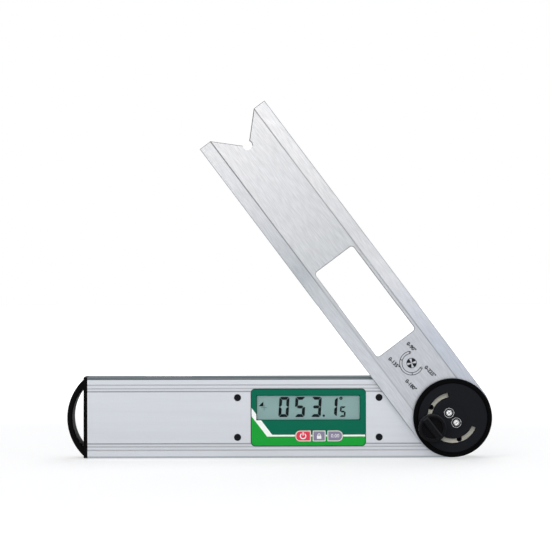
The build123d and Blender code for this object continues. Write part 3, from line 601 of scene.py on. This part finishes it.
# Silicone, moulded and printed: soft satin red and grey keys
redKey = grainy("silicone_key_red", "#dc3c52", "#e2465b", even, plastic, (0.4, 0.5))
greyKey = grainy("silicone_key_grey", "#857f96", "#8f89a0", even, plastic, (0.4, 0.5))
# Ink, screen printed: flat and opaque, a warm pale green and a clean white
paleInk = grainy("ink_screen_printed_pale", "#dfe6d4", "#e8eedf", even, plastic)
whiteInk = grainy("ink_screen_printed_white", "#f0f0f0", "#f8f8f8", even, plastic)
# Ink, pad printed: near black, a little thinner in places
blackInk = grainy("ink_pad_printed_black", "#17191c", "#202327", even, plastic)
# Liquid crystal, switched on: blue-black and quite matt
segmentInk = grainy("liquid_crystal_dark", "#0a1014", "#10171b", even,
                    {"Roughness": 0.5, "Specular IOR Level": 0.0})
# Liquid crystal, half on: a mark that hardly stands out from the glass
ghostInk = grainy("liquid_crystal_faint", "#5e7876", "#66807d", even, plastic)
# Aluminium, dark grey: painted shade along the blade's cut edges
edgeShadeMetal = grainy("aluminium_painted_edge_shade", "#565a5e", "#62666a", even,
                  {"Roughness": 0.6, "Specular IOR Level": 0.1})
headNickel = screwNickel()

dress(anodisedAluminium(), "housing_extrusion")
dress(brushedAluminium(), "blade")
dress(blackNylon, "end_cap", "module_frame", "battery_holder", "hub_insert")
dress(nylonPaintedEdgeLight("nylon_moulded_knob", "#121214", "#18181a"), "lock_knob")
dress(nylonPaintedEdgeLight("nylon_moulded_cover", "#1c1c1f", "#232326"), "pivot_cover", "battery_cap")
dress(hubBlack(), "hub_disc")
dress(printedFilm(), "display_film")
dress(clearAcrylic, "vial_block", "vial_plug")
dress(displayWindow, "lcd_lens")
dress(spirit, "vial_fluid")
dress(displayGlass, "lcd_glass")
dress(rubber, "lcd_connectors")
dress(laminate, "circuit_board", "encoder_stator", "encoder_rotor", "encoder_ribbon")
dress(switchPlastic, "key_switches")
dress(darkSteel, "module_screws", "circlip", "spring_washer")
dress(brightNickel, "coin_cell", "battery_contact")
dress(headNickel, "hub_screws")
# Painted shade: the screw cups take the dark steel so that their hollows read dark round the heads
dress(darkSteel, "screw_cups")
dress(turnedSteel, "pivot_shaft", "lock_screw", "lock_washer")
dress(bronze, "front_bush", "rear_bush")
dress(darkBrass, "seat_inserts")
dress(creamAcetal, "friction_ring")
dress(redKey, "power_key")
dress(greyKey, "hold_key", "zero_key")
print("materials made")


# Display figures, in mm from the display's middle
def sevenSegment(digit, left, bottom, width, height, stroke, gap, corner, lean):
    # The lit bars of one figure, lettered as such displays letter them, with a gap between bars and the
    # figure's outer corners cut off
    w, h, s, g, c = width, height, stroke, gap, corner
    m = h / 2
    bars = {
        "a": [(g + c, h), (g + c / 2, h - c / 2), (s + g, h - s), (w - s - g, h - s),
              (w - g - c / 2, h - c / 2), (w - g - c, h)],
        "d": [(g + c, 0), (w - g - c, 0), (w - g - c / 2, c / 2), (w - s - g, s), (s + g, s),
              (g + c / 2, c / 2)],
        "g": [(s / 2 + g, m), (s + g, m - s / 2), (w - s - g, m - s / 2), (w - s / 2 - g, m),
              (w - s - g, m + s / 2), (s + g, m + s / 2)],
        "f": [(0, h - g - c), (0, m + g), (s / 2, m + g), (s, m + s / 2 + g), (s, h - s - g),
              (c / 2, h - g - c / 2)],
        "e": [(0, g + c), (c / 2, g + c / 2), (s, s + g), (s, m - s / 2 - g), (s / 2, m - g), (0, m - g)],
    }
    for name, twin in (("b", "f"), ("c", "e")):
        bars[name] = [(w - u, v) for u, v in reversed(bars[twin])]
    lit = {"0": "abcdef", "1": "bc", "3": "abcdg", "5": "acdfg"}[digit]
    slope = tan(radians(lean))
    return [[(left + u + v * slope, bottom + v) for u, v in bars[name]] for name in lit]


figures = {
    "large": (6.9, 13.7, 2.0, 0.14, 0.9),     # width, height, stroke, gap and cut corner
    "small": (4.0, 7.2, 1.2, 0.08, 0.4),
    "lean": 3.5, "bottom": 0.2,
    "digits": (("0", -20.4), ("5", -9.45), ("3", 1.5), ("1", 12.45)), "smallDigit": ("5", 21.2),
    "point": (10.5, 1.1), "pointRadius": 0.85, "degree": (22.2, 12.9), "degreeRadii": (0.3, 1.1),
    "wedge": [(-33.6, 7.6), (-30.5, 7.5), (-30.5, 10.6), (-31.9, 9.5)],
    "cross": (-30.0, 6.6), "crossArm": 1.9, "crossHalf": 0.2, "thickness": 0.00003,
}
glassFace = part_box("lcd_glass")[0].y
shapes = []
for digit, left in figures["digits"]:
    shapes += sevenSegment(digit, left, figures["bottom"], *figures["large"], figures["lean"])
digit, left = figures["smallDigit"]
shapes += sevenSegment(digit, left, figures["bottom"], *figures["small"], figures["lean"])
shapes.append(fullCircle(figures["pointRadius"], centre=figures["point"]))
shapes.append(fullRing(*figures["degreeRadii"], 24, figures["degree"]))
shapes.append(figures["wedge"])
flatPiece("lcd_figures", shapes, displayCentre, 0, glassFace, figures["thickness"], segmentInk, "base_arm")
crossX, crossZ = figures["cross"]
arm, half = figures["crossArm"], figures["crossHalf"]
cross = [oblong(crossX - arm, crossZ - half, crossX + arm, crossZ + half),
         oblong(crossX - half, crossZ - arm, crossX + half, crossZ - half),
         oblong(crossX - half, crossZ + half, crossX + half, crossZ + arm)]
flatPiece("lcd_faint_mark", cross, displayCentre, 0, glassFace, figures["thickness"], ghostInk, "base_arm")
print("display figures made")


# Key prints, in mm from the middle of each key
leastRound = 0.2


def roundedLoop(width, height, leftRound, rightRound, inset):
    w, h = width / 2 - inset, height / 2 - inset
    loop = []
    for sideX, sideZ, start, corner in ((1, 1, 0, rightRound), (-1, 1, 90, leftRound),
                                        (-1, -1, 180, leftRound), (1, -1, 270, rightRound)):
        r = max(corner - inset, leastRound)
        loop += arcPoints(r, start, start + 90, 8, (sideX * (w - r), sideZ * (h - r)))
    return loop


keyPrint = {"height": 7.4, "round": 3.4, "square": 0.6, "borderFrom": 0.05, "borderTo": 0.6,
            "thickness": 0.00003, "powerArc": (1.5, 2.2, 125, 415), "powerBar": (-0.35, 0.3, 0.35, 2.5),
            "lockBody": (-1.5, -1.9, 1.5, 0.2), "bow": (0.65, 1.1), "bowMiddle": 0.6, "zero": "0.00",
            "zeroHeight": 2.3}
for name, leftRound, rightRound in (("power_key", keyPrint["round"], keyPrint["square"]),
                                    ("hold_key", keyPrint["square"], keyPrint["square"]),
                                    ("zero_key", keyPrint["square"], keyPrint["round"])):
    low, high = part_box(name)
    centre = (low + high) / 2
    width = (high.x - low.x) / mm
    loops = [roundedLoop(width, keyPrint["height"], leftRound, rightRound, inset)
             for inset in (keyPrint["borderFrom"], keyPrint["borderTo"])]
    flatPiece(name + "_border", [tuple(loops)], centre, 0, low.y, keyPrint["thickness"], paleInk, name)
    if name == "power_key":
        sign = [arcBand(*keyPrint["powerArc"]), oblong(*keyPrint["powerBar"])]
        flatPiece("power_sign", sign, centre, 0, low.y, keyPrint["thickness"], whiteInk, name)
    elif name == "hold_key":
        bodyTop, bowMiddle = keyPrint["lockBody"][3], keyPrint["bowMiddle"]
        inner, outer = keyPrint["bow"]
        sign = [oblong(*keyPrint["lockBody"]), arcBand(inner, outer, 0, 180, 12, (0, bowMiddle)),
                oblong(-outer, bodyTop, -inner, bowMiddle), oblong(inner, bodyTop, outer, bowMiddle)]
        flatPiece("hold_sign", sign, centre, 0, low.y, keyPrint["thickness"], whiteInk, name)
    else:
        textPiece("zero_sign", keyPrint["zero"], keyPrint["zeroHeight"], centre, 0, low.y,
                  keyPrint["thickness"], whiteInk, name)
print("key prints made")


# Range diagram printed on the blade, in mm from its centre. Centre and labels are placed in metres.
def rangeDiagram():
    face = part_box("blade")[0].y
    diagram = {"centre": Vector((0.0975, 0, 0.0644)), "thickness": 0.00003, "line": 0.42,
               "radii": (6.5, 8.1), "start": 98, "stop": 334, "endDot": (0.35, 0.75),
               "marks": (163, 273), "markHalf": 2, "hub": (3.1, 3.5), "turn": 60.0, "wedgeHalf": 29,
               "wedgeTip": 0.25, "labelHeight": 2.4, "labelWeight": 0.14, "labelTurn": -46.0,
               "labels": (("0-90°", 0.0973, 0.0753), ("0-135°", 0.0856, 0.0644),
                          ("0-180°", 0.0970, 0.0494), ("0-225°", 0.1100, 0.0586))}
    line = diagram["line"]
    inner, outer = diagram["radii"]
    middle = (inner + outer) / 2
    shapes = [arcBand(radius - line / 2, radius + line / 2, diagram["start"], diagram["stop"], steps=40)
              for radius in (inner, outer)]
    for angle in (diagram["start"], diagram["stop"]):
        shapes.append(fullRing(*diagram["endDot"], 16, pointAt(middle, angle)))
    for angle in diagram["marks"]:
        start, stop = angle - diagram["markHalf"], angle + diagram["markHalf"]
        shapes.append(arcBand(inner + line / 2, outer - line / 2, start, stop, steps=2))
    shapes.append(fullRing(*diagram["hub"]))
    for quarter in range(4):
        turn = diagram["turn"] + 90 * quarter
        start, stop = turn - diagram["wedgeHalf"], turn + diagram["wedgeHalf"]
        shapes.append([pointAt(diagram["wedgeTip"], turn)]
                      + arcPoints(diagram["hub"][0], start, stop, 8))
    flatPiece("range_diagram", shapes, diagram["centre"], 0, face, diagram["thickness"], blackInk,
              "blade_arm")
    for index, (words, x, z) in enumerate(diagram["labels"]):
        textPiece(f"range_label_{index + 1}", words, diagram["labelHeight"], Vector((x, 0, z)),
                  diagram["labelTurn"], face, diagram["thickness"], blackInk, "blade_arm",
                  diagram["labelWeight"])


rangeDiagram()
print("range diagram made")


# Cut edges of the blade: a thin line of painted shade round the notch, the rail ends and the
# window. Places are in mm, along the blade from the pivot and across it.
def edgeShadeLines():
    cut = {"tip": 247.8, "notch": 229.4, "rail": 27.0, "relief": (230.6, 3.3), "reliefArc": (-130, -66),
           "wide": 0.5, "narrow": 0.28, "slant": 1.414, "window": (62.7, 71.2, 32.1, 2.2),
           "windowLine": 0.3, "shift": 0.06, "thickness": 0.00002}
    reach = cut["tip"] - cut["notch"]
    centre, radius = cut["relief"]
    meet = centre - cut["notch"]
    inner = (meet + (2 * radius ** 2 - meet ** 2) ** 0.5) / 2     # where notch and relief meet
    shapes = []
    for side, width in ((-1, cut["wide"]), (1, cut["narrow"])):
        near, far = (cut["notch"] + inner, side * inner), (cut["tip"], side * reach)
        across = cut["slant"] * width     # the line's width, measured along the blade
        shapes.append([near, far, (far[0] - across, far[1]), (near[0] - across, near[1])])
        end = side * cut["rail"]
        shapes.append([far, (cut["tip"], end), (cut["tip"] - cut["narrow"], end),
                       (far[0] - cut["narrow"], far[1])])
    shapes.append(arcBand(radius, radius + cut["wide"], *cut["reliefArc"], 12, (centre, 0)))
    start, length, width, corner = cut["window"]
    middle = start + length / 2
    loops = [[(middle + u + shift, v - shift) for u, v in roundedLoop(length, width, corner, corner, inset)]
             for shift, inset in ((cut["shift"], -cut["windowLine"]), (0, 0))]
    shapes.append(tuple(loops))
    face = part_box("blade")[0].y
    flatPiece("blade_edge_shade_lines", shapes, pivot, bladeAngle, face, cut["thickness"], edgeShadeMetal,
              "blade_arm")


edgeShadeLines()
print("cut edges made")


# Short bright ticks round each screw cup: painted glints where the light catches its knurled rim. Radii in
# mm, turns in degrees
cupGlint = {"inner": 3.05, "outer": 3.35, "thickness": 0.00005, "step": 15, "tooth": 7}
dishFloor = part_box("screw_cups")[0].y
shapes = []
for side in (-1, 1):
    for turn in range(0, 360, cupGlint["step"]):
        shapes.append(arcBand(cupGlint["inner"], cupGlint["outer"], turn, turn + cupGlint["tooth"], 2,
                              (side * screwOffset / mm, 0)))
flatPiece("screw_cup_glints", shapes, pivot, bladeAngle, dishFloor, cupGlint["thickness"], brightNickel,
          "blade_arm")
print("screw cup rims made")

# Narrow flange under the bevel of each hub screw's head: radii in mm, depths in metres
flange = {"inner": 1.8, "outer": 2.0, "thickness": 0.0002, "below": 0.0006}
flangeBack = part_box("hub_screws")[0].y + flange["below"]
shapes = [fullRing(flange["inner"], flange["outer"], 32, (side * screwOffset / mm, 0))
          for side in (-1, 1)]
flatPiece("screw_flanges", shapes, pivot, bladeAngle, flangeBack, flange["thickness"], headNickel,
          "blade_arm")
print("screw flanges made")


# Two level marks round the vial's bore, in metres
def levelMarks():
    marks = {"apart": 0.0115, "width": 0.0005, "radii": (0.00425, 0.00435), "steps": 48}
    low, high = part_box("vial_block")
    fluidLow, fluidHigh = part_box("vial_fluid")
    axis = Vector(((low.x + high.x) / 2, 0, (fluidLow.z + fluidHigh.z) / 2))
    for side, name in ((-1, "level_mark_left"), (1, "level_mark_right")):
        bm = bmesh.new()
        rings = []
        for radius in marks["radii"]:
            for edge in (-1, 1):
                x = axis.x + side * marks["apart"] / 2 + edge * marks["width"] / 2
                rings.append([bm.verts.new((x, y, z))
                              for y, z in fullCircle(radius, marks["steps"], (0, axis.z))])
        for first, second in ((0, 1), (1, 3), (3, 2), (2, 0)):
            for i in range(marks["steps"]):
                j = (i + 1) % marks["steps"]
                bm.faces.new((rings[first][i], rings[first][j], rings[second][j], rings[second][i]))
        addPiece(name, bm, blackInk, "base_arm")


levelMarks()
print("level marks made")

scene.view_settings.view_transform = "Standard"
